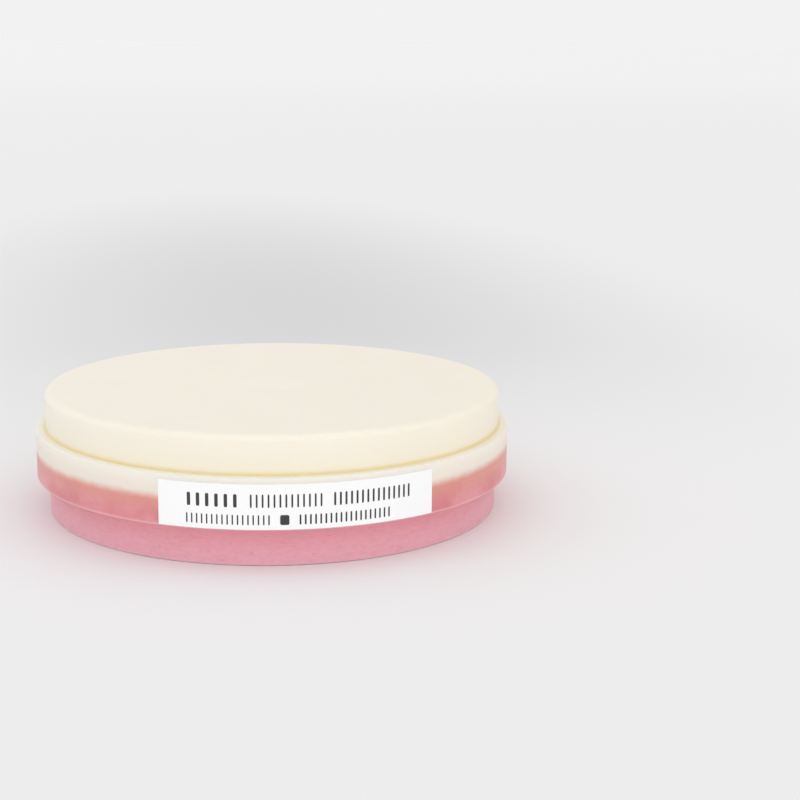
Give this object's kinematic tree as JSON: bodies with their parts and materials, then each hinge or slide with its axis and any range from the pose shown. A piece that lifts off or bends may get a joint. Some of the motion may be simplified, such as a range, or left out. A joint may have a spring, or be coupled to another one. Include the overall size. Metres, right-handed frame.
{
  "type": "pmma milling disc",
  "caption": "Round two-colour PMMA dental milling block: a tooth-coloured and a gum-coloured layer with a stepped clamping rim and a plain rim label.",
  "frame": {"origin": "centre of the gum-coloured face, on which the disc lies", "axes": "+Z along the disc's axis towards the tooth-coloured face; -Y towards the middle of the label"},
  "size_m": [0.098, 0.0981, 0.025],
  "materials": {
    "tooth_resin": "satin turned PMMA, slightly translucent, cream",
    "gum_resin": "satin turned PMMA, slightly translucent, gum pink",
    "label_film": "smooth white self-adhesive film"
  },
  "bodies": {
    "root": {"tooth_layer": "tooth_resin", "gum_layer": "gum_resin", "label": "label_film"}
  },
  "joints": []
}
